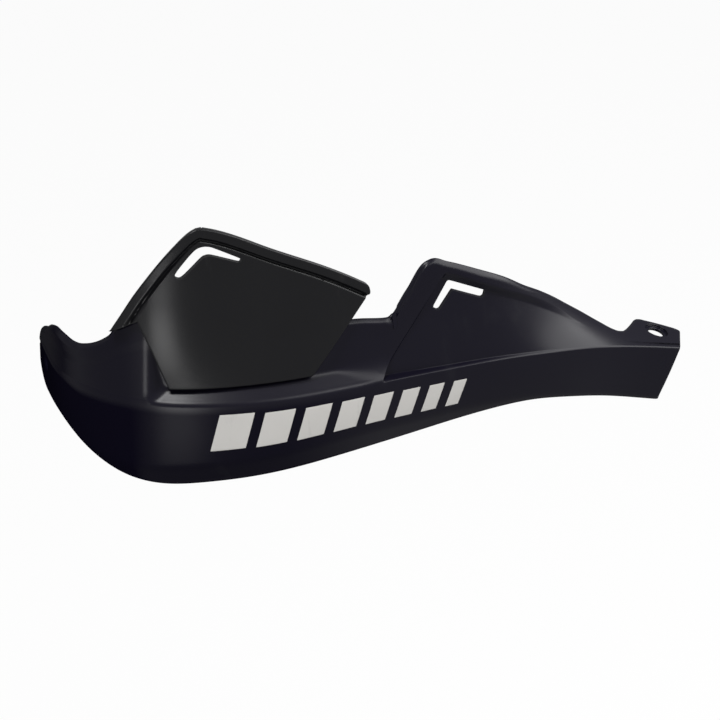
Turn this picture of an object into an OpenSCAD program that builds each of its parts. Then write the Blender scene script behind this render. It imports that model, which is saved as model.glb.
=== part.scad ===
// Motorcycle hand guard: a wrap-around moulded shell with a fin, and a vented upper panel.
// The origin is the centre of the bar-end bolt hole, on the outer face of the end plate.
// +X runs inboard along the bar, +Y back towards the rider and +Z up.
// A skin point is given by u, w and d: u counts pitches along the plan line, w is the
// distance up the skin from the crease, and d is the depth behind the plan line.

/* [Shell] */
// Length along the bar, from the end plate to the tip of the inner tab
guard_l = 340; // [310:1:370]
// Depth from the rear of the end plate to the front of the band
wrap_d = 107.5; // [98:0.5:118]
// Wall thickness of the shell
wall = 3; // [2.4:0.1:3.4]
// Height of the band's bottom edge below the bar-end hole, at the outer corner
band_drop = 41; // [36:0.5:46]
// Height of the crease above the bar-end hole
crease_h = 7; // [4:0.5:10]
// Bulge of the band's face
crown = 0.8; // [0:0.1:1.5]
// Height of the chamfer along the bottom edge
chamfer_h = 12; // [8:0.5:14]
// Depth of the chamfer along the bottom edge
chamfer_d = 5; // [3:0.25:6]

/* [Upper wall and fin] */
// Depth of the panel's seat behind the face of the band
seat_d = 8; // [6.5:0.25:9]
// Height of the upper wall behind the panel
seat_wall_h = 33; // [30:0.5:38]
// Height of the wing above the crease
wing_h = 22; // [18:0.5:26]
// Height of the fin above the crease, along its slope
fin_h = 59; // [52:0.5:66]
// Depth of the fin's recess
recess_d = 3.3; // [1.5:0.1:4]
// Depth of the rolled top edge
roll_d = 2; // [1:0.1:2.5]

/* [Mounts] */
// Radius of the rounded end plate
end_plate_r = 19; // [16:0.25:21]
// Diameter of the bar-end bolt hole
bar_hole_d = 8.5; // [6.5:0.1:10.5]
// Depth of the inner tab behind the crease
tab_depth = 30; // [28:0.5:34]
// Diameter of the inner bolt hole
tab_hole_d = 8.5; // [6.5:0.1:9]
// Diameter of the shallow seat round the inner bolt hole
tab_seat_d = 12.5; // [11:0.1:14]
// Depth of the seat round the inner bolt hole
tab_seat_depth = 1.2; // [0.6:0.1:1.6]
// Height of the boss under the tab
tab_boss_t = 2.5; // [1.5:0.1:5]

/* [Panel] */
// Thickness of the panel
panel_t = 3; // [2.6:0.1:3.4]
// Height of the panel's outer corner above the crease
panel_h = 92.5; // [86:0.5:98]
// Gap between the panel and its seat
panel_gap = 0.8; // [0.6:0.1:1.2]
// Height of the panel's raised border
border_lift = 1.2; // [0.6:0.1:1.6]
// Depth of the groove inside the border
groove_d = 1; // [0.5:0.1:1.4]
// Width of the panel's chevron vent
vent_w = 4.4; // [3.4:0.1:5.2]
// Width of the fin's chevron vent
fin_vent_w = 4; // [3.2:0.1:4.8]

/* [Panel screws] */
// Diameter of the panel's bosses, which pass through the shell
boss_d = 7; // [6:0.1:8]
// Clearance between a boss and its hole, all round
boss_clearance = 0.3; // [0.2:0.05:0.5]
// Diameter of the screw thread
screw_d = 3.5; // [3:0.1:4]
// Diameter of the screw head
screw_head_d = 10; // [9.6:0.1:12]
// Thickness of the screw head
screw_head_t = 2.2; // [1.6:0.1:3]
// Length of the screw under its head
screw_l = 6; // [4.5:0.1:6.5]
// Thickness of the flat pad under each screw head
pad_t = 1; // [0.6:0.1:1.6]

/* [Hidden] */

// Shape lines, one value for each pitch of the plan line
plan_x = [0, 0, 0.5, 9, 24, 43, 65, 87.5, 110, 133, 155, 177.5, 200, 222.5, 244.5, 266.5, 288, 310, 332,
    354];
plan_y = [17.5, -5, -28, -49.5, -67, -80, -87, -90, -90, -87, -82.5, -78.5, -75, -71.5, -66.5, -60, -52, -46,
    -41.5, -37.5];
droop = [0, 0, 0, 0, 0, 0, 0, 0, 0, 0, 0, 0, 0, 0, 1.8, 5, 9.5, 14.5, 20, 25.5];
lean = [0, 0, 0, 2, 5, 6, 6, 6, 6, 6, 6.5, 7, 8, 10, 18, 36, 60, 80, 80, 80];
drop = [16, 16, 17.5, 29, 39, 41, 38.7, 37.3, 35.2, 32.8, 30.7, 27.8, 24.3, 21.6, 21.3, 25.8, 31.3, 38.5,
    45, 51];
chamfer_part = [0, 0, 0.04, 0.22, 0.65, 1, 1, 1, 1, 1, 0.92, 0.75, 0.58, 0.38, 0.25, 0.2, 0.2, 0.2, 0.2,
    0.2];

function line_at(v, i) = i < 0 ? 2 * v[0] - v[1] : i < len(v) ? v[i] : 2 * v[len(v) - 1] - v[len(v) - 2];
function spline(v, u) =
    let (k = min(max(floor(u), 0), len(v) - 2), t = u - k, s = 1 - t)
    (s * s * s * line_at(v, k - 1) + (3 * t * t * t - 6 * t * t + 4) * v[k]
        + (3 * s * s * s - 6 * s * s + 4) * v[k + 1] + t * t * t * line_at(v, k + 2)) / 6;
function ease(t) = let (c = min(max(t, 0), 1)) c * c * (3 - 2 * c);
function clamp(t) = min(max(t, 0), 1);
function unit(v) = v / norm(v);

plan = [for (i = [0:len(plan_x) - 1])
    [plan_x[i] * guard_l / 340, i == 0 ? end_plate_r : plan_y[i] * (wrap_d - 17.5) / 90]];
function plan_pt(u) = spline(plan, u);
function plan_dir(u) = unit(spline(plan, min(u + 0.01, 19)) - spline(plan, max(u - 0.01, 0)));
function inward(u) = let (t = plan_dir(u)) [-t.y, t.x];
function crease_z(u) = crease_h - spline(droop, u);

// The end plate is round about the bolt hole, so its height shrinks towards the rear
function end_round(u) = sqrt(max(0.05, 1 - pow(max(0, plan_pt(u).y) / end_plate_r, 2)));

function skin_pt(u, w, d) =
    let (a = spline(lean, u), run = w * sin(a) + d * cos(a), p = plan_pt(u) + inward(u) * run)
    [p.x, p.y, (crease_z(u) + w * cos(a) - d * sin(a)) * end_round(u)];
function face_pt(u, z, d) = let (p = plan_pt(u) + inward(u) * d) [p.x, p.y, z * end_round(u)];

// Top outline of the shell: height up the skin against u
top_line = [[0, wing_h * 0.45], [0.7, wing_h * 0.57], [1.2, wing_h * 0.84], [1.6, wing_h * 0.97],
    [2.1, wing_h], [2.44, wing_h * 0.98], [2.73, wing_h], [3.03, wing_h * 1.08], [3.3, wing_h * 1.19],
    [3.55, wing_h * 1.34], [3.73, wing_h * 1.49], [3.83, seat_wall_h * 1.09], [4.2, seat_wall_h * 1.26],
    [4.6, seat_wall_h * 1.38], [5.2, seat_wall_h * 1.38], [7, seat_wall_h * 1.3],
    [8.8, seat_wall_h * 1.12], [9.5, seat_wall_h * 1.015], [9.8, seat_wall_h], [10.5, seat_wall_h * 0.95],
    [11, fin_h * 0.75], [11.46, fin_h * 0.98], [11.62, fin_h * 0.995], [11.93, fin_h * 0.95],
    [12.1, fin_h * 0.925], [12.75, fin_h * 0.825], [13.45, fin_h * 0.722], [14.1, fin_h * 0.618],
    [14.7, fin_h * 0.559], [15.35, fin_h * 0.505], [15.9, fin_h * 0.449], [16.36, fin_h * 0.347],
    [16.7, fin_h * 0.254], [16.88, fin_h * 0.252], [17.1, tab_depth * 0.62], [17.5, tab_depth * 0.92],
    [17.6, tab_depth * 0.99], [17.72, tab_depth * 0.98], [18.54, tab_depth * 0.7]];
function top_w(u) = lookup(u, top_line);

// Seat of the panel: set back behind the face, fading out up the left side
seat_u = 4.72;
seat_fade = 2.6;
pitch = 22.7;
function seat_depth(u, w) = seat_d * (1 - min(1, w / seat_wall_h) * (1 - ease((u - seat_u) / seat_fade)));

// Left edge of the fin's recess, and the lines that end its sloped top wall
fin_slant = 0.0338;
fin_u = 10.16;
function fin_edge_u(w) = fin_u + fin_slant * w;
edge_part = [[0, 0.66], [4, 0.7], [9.5, 0.8], [10.5, 0.84], [12.1, 0.905], [13.5, 0.82], [14.57, 0.8],
    [15.09, 0.735], [15.48, 0.6], [15.91, 0.5], [17, 0.5]];
foot_gap = [[0, 2], [2, 4], [10.5, 5], [12, 5], [13, 4.4], [13.8, 3.8], [14.7, 3.6], [15.36, 1.8],
    [15.9, 1.5]];
function edge_w(u) = top_w(u) * lookup(u, edge_part);
function foot_w(u) = edge_w(u) - lookup(u, foot_gap);

// Smaller of two depths, with a concave fillet of size k where they meet
function soft_min(a, b, k) = min(a, b) - pow(max(k - abs(a - b), 0), 2) / (4 * k);
// Land round the recess: it starts level with the seat and comes forward to the fin
function land_depth(u, w) =
    let (at_edge = lookup(w, [[0, 4.8], [15, 4.6], [31, 3.5], [50, 2], [60, 1.6]]) * seat_d / 8,
        edge = fin_edge_u(w))
    u < edge ? at_edge + (seat_d - at_edge) * ease((edge - 0.15 - u) / (edge - 9.15))
    : at_edge * (1 - ease((u - edge) / 1.3));
// Floor of the recess: a shelf behind the crease at the left, running out into the skin at the right
function floor_depth(u, w) =
    (lookup(u, [[10.3, 5.4], [11.6, 3.4], [12.8, 2.3], [13.8, 1.4], [15.9, 0.6]]) + w / 25)
    * recess_d / 3.3 * (1 - ease((u - 14) / 1.9));
function skin_depth(u, w, in_recess) =
    u < seat_u + 0.001 ? 0
    : in_recess ? floor_depth(u, w)
    : let (slope = soft_min(w, max(0, u - seat_u) * pitch, 2), k = 1.5 + 6 * ease((u - 9) / 1.2))
        max(0, soft_min(slope, min(seat_depth(u, w), land_depth(u, w)), k));

// Column lines from the bottom edge over the crease to the top: u at each, and the columns up to the next
fans = [[0.02, 0.02, 0.02, 1], [0.07, 0.07, 0.07, 1], [0.18, 0.18, 0.18, 1], [0.39, 0.39, 0.39, 1],
    [0.78, 0.78, 0.78, 13], [4.72, 4.72, 4.72, 1], [5.08, 5.08, 4.85, 1], [5.45, 5.45, 5.3, 9],
    [9.6, 9.6, 9.7, 1], [10.0, 10.0, 10.5, 3], [10.22, 10.22, 11.46, 1], [10.26, 10.26, 11.62, 1],
    [10.31, 10.31, 11.93, 1], [10.36, 10.36, 12.1, 2], [10.95, 10.95, 12.75, 2], [11.75, 11.75, 13.45, 2],
    [12.65, 12.65, 14.1, 2], [13.6, 13.6, 14.7, 2], [14.6, 14.6, 15.35, 2], [15.4, 15.4, 15.9, 2],
    [15.95, 15.95, 16.36, 2], [16.35, 16.35, 16.7, 1], [16.5, 16.55, 16.88, 1], [16.65, 16.8, 17.1, 2],
    [16.87, 17.1, 17.5, 1], [16.95, 17.2, 17.6, 1], [17.05, 17.32, 17.72, 4], [17.51, 18.05, 18.54, 1]];
recess_first = 10.36;
columns = [for (k = [0:len(fans) - 1]) let (a = fans[k], b = fans[min(k + 1, len(fans) - 1)])
    for (i = [0:(k < len(fans) - 1 ? a[3] : 1) - 1]) let (t = i / a[3])
    [a[0] + (b[0] - a[0]) * t, a[1] + (b[1] - a[1]) * t, a[2] + (b[2] - a[2]) * t]];

function band_z(u) = -spline(drop, u) * band_drop / 41;
function cham(u) = spline(chamfer_part, u);
function roll_h(u) = let (fin_side = ease((u - 10.4) / 0.3) * (1 - ease((u - 11.1) / 0.4)))
    min(roll_d * 1.2 + 3 * fin_side, top_w(u) * 0.2);
function roll(u) = roll_d * ease(u / 1.2) * (1 - 0.7 * ease((u - 15.5) / 1.5));
upper_parts = [0.12, 0.3, 0.55, 0.8];

// One column of the shell's outer skin, from the bottom edge to the rolled top edge
function shell_column(c) =
    let (ub = c[0], uc = c[1], ut = c[2], wt = top_w(ut), we = edge_w(ut), wf = foot_w(ut),
        in_recess = uc > recess_first - 0.001,
        ledge = uc < seat_u + 0.01 ? 1.5 : uc < recess_first - 0.001 ? seat_d
            : 0.8 + 3.4 * ease((uc - 12.5) / 3),
        zb = band_z(ub), zf = zb + chamfer_h * max(0.2, cham(ub)), zc = crease_z(uc),
        ws = concat([ledge], [for (f = upper_parts) ledge + (wf - ledge) * f], [wf]))
    concat(
        [face_pt(ub, zb, chamfer_d * cham(ub))],
        [for (f = [0, 0.33, 0.67, 1])
            face_pt(ub + (uc - ub) * f, zf + (zc - zf) * f, -crown * ease(ub / 3) * sin(180 * f))],
        [for (w = ws) let (u = uc + (ut - uc) * w / wt) skin_pt(u, w, skin_depth(u, w, in_recess))],
        [for (w = [we, wt - roll_h(ut)])
            let (u = uc + (ut - uc) * w / wt) skin_pt(u, w, skin_depth(u, w, false))],
        [skin_pt(ut, wt, skin_depth(ut, wt, false) + roll(ut))]);

// The inner point under each point of a column, mitred between the slopes below and above it
function along(u) = let (e = 0.02, a = max(u - e, 0), b = min(u + e, 18.9))
    unit(concat(spline(plan, b), [crease_z(b)]) - concat(spline(plan, a), [crease_z(a)]));
function inner_column(p, u, t) = let (du = along(u), n = len(p))
    [for (i = [0:n - 1])
        let (a = unit(cross(du, p[max(i, 1)] - p[max(i, 1) - 1])),
            b = unit(cross(du, p[min(i, n - 2) + 1] - p[min(i, n - 2)])),
            m = unit(a + b))
        p[i] - m * t * min(1.5, 1 / (m * a))];

// A closed moulding between the grids g and h of outer and inner points, where the cells kept(j, i) stand
module moulding(g, h, kept) {
    nj = len(g);
    ni = len(g[0]);
    n = nj * ni;
    pts = [for (skin = [g, h]) for (j = [0:nj - 1], i = [0:ni - 1]) skin[j][i]];
    function on(j, i) = j >= 0 && i >= 0 && j < nj - 1 && i < ni - 1 && kept(j, i);
    function v(j, i) = j * ni + i;
    faces = [for (j = [0:nj - 2], i = [0:ni - 2]) if (on(j, i))
        let (a = v(j, i), b = v(j, i + 1), c = v(j + 1, i + 1), d = v(j + 1, i))
        each concat([[a, b, c, d], [d + n, c + n, b + n, a + n]],
            on(j, i - 1) ? [] : [[a, d, d + n, a + n]],
            on(j, i + 1) ? [] : [[c, b, b + n, c + n]],
            on(j - 1, i) ? [] : [[b, a, a + n, b + n]],
            on(j + 1, i) ? [] : [[d, c, c + n, d + n]])];
    polyhedron(pts, faces, convexity = 12);
}

// Straight slot with round ends, and a chain of them along a line of points
module slot(a, b, w) {
    translate(a) circle(d = w, $fn = 24);
    translate(b) circle(d = w, $fn = 24);
    translate(a) rotate(atan2(b.y - a.y, b.x - a.x)) translate([0, -w / 2]) square([norm(b - a), w]);
}
module chevron(line, w) {
    for (i = [0:len(line) - 2]) slot(line[i], line[i + 1], w);
}
// A chevron vent cut straight through a skin from the front, with its corners on the skin
module vent_cut(corners, w) {
    ys = [for (p = corners) p.y];
    translate([0, max(ys) + 12, 0]) rotate([90, 0, 0]) linear_extrude(max(ys) - min(ys) + 24)
        chevron([for (p = corners) [p.x, p.z]], w);
}
fin_vent = [for (p = [[11.6, 33.1], [11.98, 42.5], [12.78, 35.1]]) let (w = p.y * fin_h / 59)
    skin_pt(p.x, w, floor_depth(p.x, w))];
panel_vent = [for (p = [[5.45, 68.8], [5.86, 79.1], [6.17, 80], [6.85, 73.5]])
    skin_pt(p.x, p.y * panel_h / 92.5, seat_depth(p.x, p.y) - panel_gap - panel_t)];

// Frame on the seat under the panel: +Z points inward, square to the seat
function seat_pt(u, w, d) = skin_pt(u, w, seat_depth(u, w) + d);
function seat_axis(u, w) = unit(cross(seat_pt(u, w + 1, 0) - seat_pt(u, w - 1, 0),
    seat_pt(u + 0.05, w, 0) - seat_pt(u - 0.05, w, 0)));
module at_seat(u, w) {
    n = seat_axis(u, w);
    translate(seat_pt(u, w, 0)) rotate([0, acos(n.z), atan2(n.y, n.x)]) children();
}
screw_spots = [[6.5, 15], [8.5, 15], [6.9, 26], [8.9, 26]];

// Frame on the inner tab: +Z points up, square to the tab
tab_u = 17.84;
tab_w = 17.6;
module at_tab() {
    a = skin_pt(tab_u, tab_w + 2, 0) - skin_pt(tab_u, tab_w - 2, 0);
    b = skin_pt(tab_u + 0.1, tab_w, 0) - skin_pt(tab_u - 0.1, tab_w, 0);
    n = unit(cross(b, a));
    translate(skin_pt(tab_u, tab_w, 0)) rotate([0, acos(n.z), atan2(n.y, n.x)]) children();
}

module guard_shell() {
    grid = [for (c = columns) shell_column(c)];
    inner = [for (j = [0:len(columns) - 1]) inner_column(grid[j], columns[j][1], wall)];
    color([0.08, 0.08, 0.1]) difference() {
        union() {
            moulding(grid, inner, function (j, i) true);
            for (s = screw_spots) at_seat(s.x, s.y)
                translate([0, 0, 1]) cylinder(d = screw_head_d + 2, h = wall - 1 + pad_t, $fn = 48);
            at_tab() translate([0, 0, -wall - tab_boss_t])
                cylinder(d = tab_seat_d + 5, h = tab_boss_t + 1, $fn = 48);
        }
        rotate([0, -90, 0]) translate([0, 0, -wall - 1]) cylinder(d = bar_hole_d, h = wall + 3, $fn = 48);
        at_tab() {
            translate([0, 0, -wall - tab_boss_t - 1])
                cylinder(d = tab_hole_d, h = wall + tab_boss_t + 6, $fn = 48);
            translate([0, 0, -tab_seat_depth]) cylinder(d = tab_seat_d, h = 6, $fn = 48);
        }
        for (s = screw_spots) at_seat(s.x, s.y)
            translate([0, 0, -3]) cylinder(d = boss_d + 2 * boss_clearance, h = wall + pad_t + 6, $fn = 48);
        vent_cut(fin_vent, fin_vent_w);
    }
}

// Panel: left edge of its face, outer edge of its border, right edge and top edge, as [u, w]
panel_face_left = [[5.17, 7], [4.98, 18], [4.79, 29], [4.5, 43], [4.62, 51.5], [4.87, 60.5], [5.1, 67.5],
    [5.32, 73.5], [5.62, 79.5], [6, 84.3], [5.99, 87], [5.98, 91.7], [5.97, 92.6]];
panel_border_left = [[3.83, 35.5], [4.12, 46], [4.42, 57.2], [4.7, 66.3], [5, 75.2], [5.28, 82.2],
    [5.52, 87.5], [5.64, 89.7], [5.73, 91], [5.84, 92.2]];
panel_top = [[5.95, 92.6], [6.27, 90.8], [7.68, 77.8], [8.79, 66.7], [9.51, 58.1], [9.92, 52.5]];
border_w = 6.3;
first_border_row = 3;
panel_rows = 12;
face_cols = 12;
function panel_right(i) = let (top = panel_rows - 3)
    i <= top ? [8.53 + 1.47 * i / top, 8.2 + 37.8 * i / top]
    : [[10.02, 47.5], [10, 50], [9.92, 52.5]][i - top - 1];
function panel_uw(j, i) = let (top = panel_rows - 3)
    j < 3 ? let (a = panel_border_left[i - first_border_row], b = panel_face_left[i], f = [0, 0.62, 0.84][j])
        a + (b - a) * f
    : let (f = (j - 3) / (face_cols), l = panel_face_left[i], r = panel_right(i))
        i <= top && i < top ? l + (r - l) * f
        : let (u = l.x + (r.x - l.x) * f, drop = [border_w + 2, border_w + 0.6, 1.2, 0][i - top])
            [u, j == 3 ? l.y : j == face_cols + 3 ? r.y : lookup(u, panel_top) - drop];
function relief(j, i) =
    let (a = i < first_border_row ? 3 : min(j, 3), b = min(panel_rows - i, 3), k = min(a, b))
    k == 0 ? -border_lift * 0.4 : k == 1 ? -border_lift : k == 2 ? groove_d : 0;
function panel_pt(j, i, back) = j < 3 && i < first_border_row ? [0, 0, 0]
    : let (p = panel_uw(j, i), s = seat_depth(p.x, p.y) - panel_gap)
        skin_pt(p.x, p.y * panel_h / 92.5, back ? s : s - panel_t + relief(j, i));

module vent_panel() {
    front = [for (j = [0:face_cols + 3]) [for (i = [0:panel_rows]) panel_pt(j, i, false)]];
    back = [for (j = [0:face_cols + 3]) [for (i = [0:panel_rows]) panel_pt(j, i, true)]];
    color([0.2, 0.2, 0.21]) difference() {
        union() {
            moulding(front, back, function (j, i) j >= 3 || i >= first_border_row);
            for (s = screw_spots) at_seat(s.x, s.y)
                translate([0, 0, -panel_gap - 1])
                    cylinder(d = boss_d, h = panel_gap + 1 + wall + pad_t - 0.3, $fn = 48);
        }
        for (s = screw_spots) at_seat(s.x, s.y)
            translate([0, 0, wall + pad_t - screw_l - 0.4]) cylinder(d = screw_d, h = screw_l + 1, $fn = 32);
        vent_cut(panel_vent, vent_w);
    }
}

module panel_screws() {
    color([0.25, 0.25, 0.26]) for (s = screw_spots) at_seat(s.x, s.y) translate([0, 0, wall + pad_t]) {
        cylinder(d = screw_head_d, h = screw_head_t, $fn = 48);
        translate([0, 0, -screw_l]) cylinder(d = screw_d - 0.1, h = screw_l + 0.1, $fn = 32);
    }
}

guard_shell();
vent_panel();
panel_screws();
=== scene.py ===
import math

import bpy
import numpy as np
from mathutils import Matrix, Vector


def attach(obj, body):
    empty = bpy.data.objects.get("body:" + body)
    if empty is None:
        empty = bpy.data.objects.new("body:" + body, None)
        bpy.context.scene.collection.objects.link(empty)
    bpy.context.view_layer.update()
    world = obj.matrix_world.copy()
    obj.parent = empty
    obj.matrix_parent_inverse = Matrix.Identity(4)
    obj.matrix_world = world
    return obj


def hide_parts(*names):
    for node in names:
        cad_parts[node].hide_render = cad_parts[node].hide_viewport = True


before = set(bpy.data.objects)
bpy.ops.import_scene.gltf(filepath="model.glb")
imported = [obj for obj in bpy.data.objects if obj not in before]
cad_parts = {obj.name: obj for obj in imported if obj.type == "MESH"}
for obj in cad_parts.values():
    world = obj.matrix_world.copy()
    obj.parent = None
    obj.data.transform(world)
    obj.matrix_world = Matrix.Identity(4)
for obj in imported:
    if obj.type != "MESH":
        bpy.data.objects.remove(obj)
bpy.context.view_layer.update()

mm = 0.001
sharpAngle = 35  # edges that turn by more degrees than this are shaded sharp
print("frame loaded")

# The surface that the shell and the panel share, in millimetres and degrees. Each list has one value for
# each pitch along the plan line: the line itself, how far the crease droops, how far the wall leans back,
# how far the band reaches down and how much of its chamfer is left.
# In the functions u counts pitches from the bar end, w is the height up the wall from the crease, and d is
# the depth behind the plan line.
chart = {
    "planX": [0, 0, 0.5, 9, 24, 43, 65, 87.5, 110, 133, 155, 177.5, 200, 222.5, 244.5, 266.5, 288, 310, 332,
              354],
    "planY": [19, -5, -28, -49.5, -67, -80, -87, -90, -90, -87, -82.5, -78.5, -75, -71.5, -66.5, -60, -52,
              -46, -41.5, -37.5],
    "droop": [0, 0, 0, 0, 0, 0, 0, 0, 0, 0, 0, 0, 0, 0, 1.8, 5, 9.5, 14.5, 20, 25.5],
    "lean": [0, 0, 0, 2, 5, 6, 6, 6, 6, 6, 6.5, 7, 8, 10, 18, 36, 60, 80, 80, 80],
    "drop": [16, 16, 15.3, 27.2, 38.3, 41, 38.7, 37.3, 35.2, 32.8, 30.7, 27.8, 24.3, 21.6, 21.3, 25.8, 31.3,
             38.5, 45, 51],
    "chamfer": [0, 0, 0.04, 0.22, 0.65, 1, 1, 1, 1, 1, 0.92, 0.75, 0.58, 0.38, 0.25, 0.2, 0.2, 0.2, 0.2,
                0.2],
    "pitch": 22.7,
    "creaseHeight": 7.0,
    "plateRadius": 19.0,
    "seatDepth": 8.0,
    "seatHeight": 33.0,
    "seatBend": 0.6,
    "seatStart": 4.72,
    "seatFade": 2.6,
}


def spline(name, u):  # B-spline over one of the chart's lists, which passes near its values
    v = np.asarray(chart[name], float)
    ends = np.concatenate([[2 * v[0] - v[1]], v, [2 * v[-1] - v[-2]]])
    u = np.asarray(u, float)
    k = np.clip(np.floor(u).astype(int), 0, len(v) - 2)
    t = u - k
    s = 1 - t
    return (s**3 * ends[k] + (3 * t**3 - 6 * t * t + 4) * ends[k + 1]
            + (3 * s**3 - 6 * s * s + 4) * ends[k + 2] + t**3 * ends[k + 3]) / 6


def planPoint(u):
    return np.stack([spline("planX", u), spline("planY", u)], -1)


def planInward(u):
    near, last = 0.01, len(chart["planX"]) - 1
    t = planPoint(np.minimum(u + near, last)) - planPoint(np.maximum(u - near, 0))
    t /= np.linalg.norm(t, axis=-1, keepdims=True)
    return np.stack([-t[..., 1], t[..., 0]], -1)


def creaseZ(u):
    return chart["creaseHeight"] - spline("droop", u)


def endRound(u):  # the end plate is round about the bolt hole
    y = np.maximum(0, spline("planY", u))
    return np.sqrt(np.maximum(0.05, 1 - (y / chart["plateRadius"]) ** 2))


def skinPoint(u, w, d):  # a point on the wall, which leans back
    u, w, d = np.broadcast_arrays(np.asarray(u, float), w, d)
    a = np.radians(spline("lean", u))
    run = w * np.sin(a) + d * np.cos(a)
    flat = planPoint(u) + planInward(u) * run[..., None]
    z = (creaseZ(u) + w * np.cos(a) - d * np.sin(a)) * endRound(u)
    return np.concatenate([flat, z[..., None]], -1)


def facePoint(u, z, d):  # a point on the band, which stands upright
    u, z, d = np.broadcast_arrays(np.asarray(u, float), z, d)
    flat = planPoint(u) + planInward(u) * d[..., None]
    return np.concatenate([flat, (z * endRound(u))[..., None]], -1)


def ease(t):
    c = np.clip(t, 0, 1)
    return c * c * (3 - 2 * c)


def rise(x, start, length):  # 0 before the start and 1 after the length
    return ease((x - start) / length)


def ramp(x, r):  # 0 before x = 0 and x after it, with a bend of half-width r
    return np.where(x < -r, 0, np.where(x > r, x, (x + r) ** 2 / (4 * r)))


def softClamp(x, r):  # x held between 0 and 1, with both bends rounded
    return ramp(x, r) - ramp(x - 1, r)


def softMin(a, b, k):  # the lesser of two, with the change rounded over k
    h = np.maximum(k - np.abs(a - b), 0)
    return np.minimum(a, b) - h * h / (4 * k)


def curve(points, x):  # smooth line through the points, without overshoot
    p = np.asarray(points, float)
    px, py = p[:, 0], p[:, 1]
    h = np.diff(px)
    m = np.diff(py) / h
    d = np.zeros(len(px))
    same = m[:-1] * m[1:] > 0
    wa, wb = 2 * h[1:] + h[:-1], h[1:] + 2 * h[:-1]
    inner = np.zeros(len(m) - 1)
    inner[same] = (wa + wb)[same] / (wa[same] / m[:-1][same] + wb[same] / m[1:][same])
    d[1:-1] = inner
    d[0], d[-1] = m[0], m[-1]
    x = np.clip(np.asarray(x, float), px[0], px[-1])
    k = np.clip(np.searchsorted(px, x, side="right") - 1, 0, len(px) - 2)
    t = (x - px[k]) / h[k]
    return ((1 + 2 * t) * (1 - t) ** 2 * py[k] + t * (1 - t) ** 2 * h[k] * d[k]
            + t * t * (3 - 2 * t) * py[k + 1] + t * t * (t - 1) * h[k] * d[k + 1])


def seatDepth(u, w):
    c = chart
    share = w / c["seatHeight"]
    fade = 1 - rise(u, c["seatStart"], c["seatFade"])
    return c["seatDepth"] * (1 - (share - ramp(share - 1, c["seatBend"])) * fade)


def unit(v):
    return v / np.maximum(np.linalg.norm(v, axis=-1, keepdims=True), 1e-12)


def bendThrough(a, corner, b, t):  # rounds a corner between a and b
    return (1 - t) ** 2 * a + 2 * t * (1 - t) * corner + t * t * b


def linkNew(name, data):
    made = bpy.data.objects.new(name, data)
    bpy.context.scene.collection.objects.link(made)
    return made


def linkMesh(name, points, faces):
    mesh = bpy.data.meshes.new(name)
    corners = [tuple(p) for p in np.asarray(points) * mm]
    mesh.from_pydata(corners, [], [tuple(int(i) for i in f) for f in faces])
    mesh.update()
    for p in mesh.polygons:
        p.use_smooth = True
    return linkNew(name, mesh)


def gridCells(kept):  # faces of the kept cells of a grid, and the edges of their rim
    nj, ni = kept.shape
    number = np.arange((nj + 1) * (ni + 1)).reshape(nj + 1, ni + 1)
    a, b = number[:-1, :-1][kept], number[:-1, 1:][kept]
    c, d = number[1:, 1:][kept], number[1:, :-1][kept]
    quads = np.stack([a, d, c, b], 1)
    edges = np.concatenate([quads[:, [k, (k + 1) % 4]] for k in range(4)])
    size = number.size
    rim = edges[~np.isin(edges[:, 0] * size + edges[:, 1], edges[:, 1] * size + edges[:, 0])]
    return quads, rim


# A closed skin between a front and a back grid, with rounded lips round the cells that are kept
def closeSkin(front, back, kept, lip):
    quads, rim = gridCells(kept)
    outer, inner = front.reshape(-1, 3), back.reshape(-1, 3)
    normal = unit(outer - inner)
    push = np.zeros_like(outer)
    side = unit(np.cross(outer[rim[:, 1]] - outer[rim[:, 0]], normal[rim[:, 0]]))
    np.add.at(push, rim[:, 0], side)
    np.add.at(push, rim[:, 1], side)
    edge = np.unique(rim)
    n, t = normal[edge], push[edge]
    t = unit(t - n * (t * n).sum(1)[:, None])
    half = np.linalg.norm(outer[edge] - inner[edge], axis=1)[:, None] / 2
    mid = (outer[edge] + inner[edge]) / 2
    r = np.minimum(lip, half * 0.95)  # a thin wall gets a smaller lip
    layers = []
    for sign, turn in [(1, 30), (1, 60), (1, 90), (-1, 90), (-1, 60), (-1, 30)]:
        f = math.radians(turn)
        layers.append(mid + sign * n * (half - r + r * math.cos(f)) + t * r * math.sin(f))
    used = np.unique(quads)
    place = np.full(len(outer), -1)
    place[used] = np.arange(len(used))
    count = len(used)
    spot = np.full(len(outer), -1)
    spot[edge] = np.arange(len(edge))
    points = np.concatenate([outer[used], inner[used]] + layers)
    faces = [place[quads], place[quads][:, ::-1] + count]
    between = [2 * count + k * len(edge) + spot[rim] for k in range(len(layers))]
    rings = [place[rim]] + between + [place[rim] + count]
    for p, q in zip(rings[:-1], rings[1:]):
        faces.append(np.stack([p[:, 0], q[:, 0], q[:, 1], p[:, 1]], 1))
    return points, np.concatenate(faces)


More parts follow.
